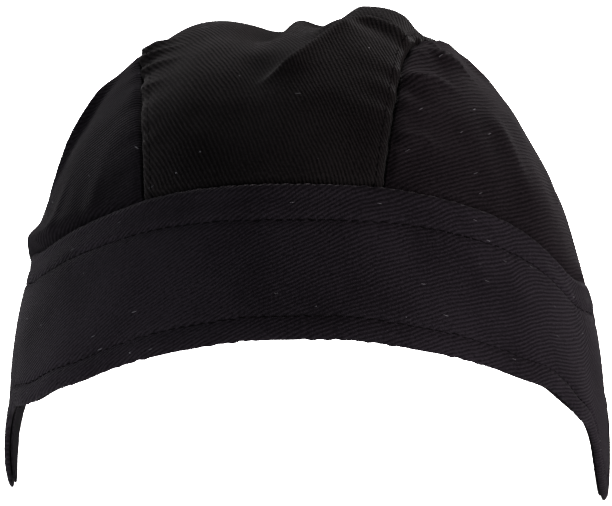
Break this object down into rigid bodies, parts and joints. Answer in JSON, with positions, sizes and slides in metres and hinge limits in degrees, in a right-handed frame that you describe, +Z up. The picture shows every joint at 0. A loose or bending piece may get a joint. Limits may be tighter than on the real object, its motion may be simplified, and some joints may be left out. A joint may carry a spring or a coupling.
{
  "type": "chef skull cap",
  "caption": "Close-fitting chef's cap of black cotton twill, with a panelled crown, a turned-up band that ends in points at the sides and a hook-and-loop size adjuster at the back.",
  "frame": {"origin": "middle of the head opening at the height of the front hem", "axes": "+Z up out of the crown, -Y the front of the cap, +X the wearer's left"},
  "size_m": [0.169, 0.2034, 0.137],
  "materials": {
    "twill": "matte",
    "lining": "matte",
    "tape": "matte",
    "interlining": "matte",
    "thread": "satin",
    "loop_pile": "matte",
    "hook_tape": "satin",
    "label": "satin"
  },
  "bodies": {
    "cap": {"crown_centre_panel": "twill", "crown_left_panel": "twill", "crown_right_panel": "twill", "seam_tape_left": "tape", "seam_tape_right": "tape", "crown_stitching_left": "thread", "crown_stitching_right": "thread", "band_outer": "twill", "band_interlining": "interlining", "band_facing": "twill", "band_top_stitching": "thread", "band_bottom_stitching": "thread", "sweatband": "lining", "sweatband_stitching": "thread", "care_label": "label", "rear_opening_binding": "tape", "loop_tab": "twill", "loop_tape": "loop_pile", "loop_tab_bartack": "thread", "hook_tab_end": "twill", "hook_tab_bartack": "thread"},
    "tab": {"hook_tab": "twill", "hook_tape": "hook_tape", "hook_tab_stitching": "thread"}
  },
  "joints": [
    {"name": "tab_peel", "type": "hinge", "parent": "cap", "child": "tab", "pos_m": [-0.038, 0.09463, -0.018], "axis": [0, 0, 1], "range_deg": [0, 120]}
  ]
}
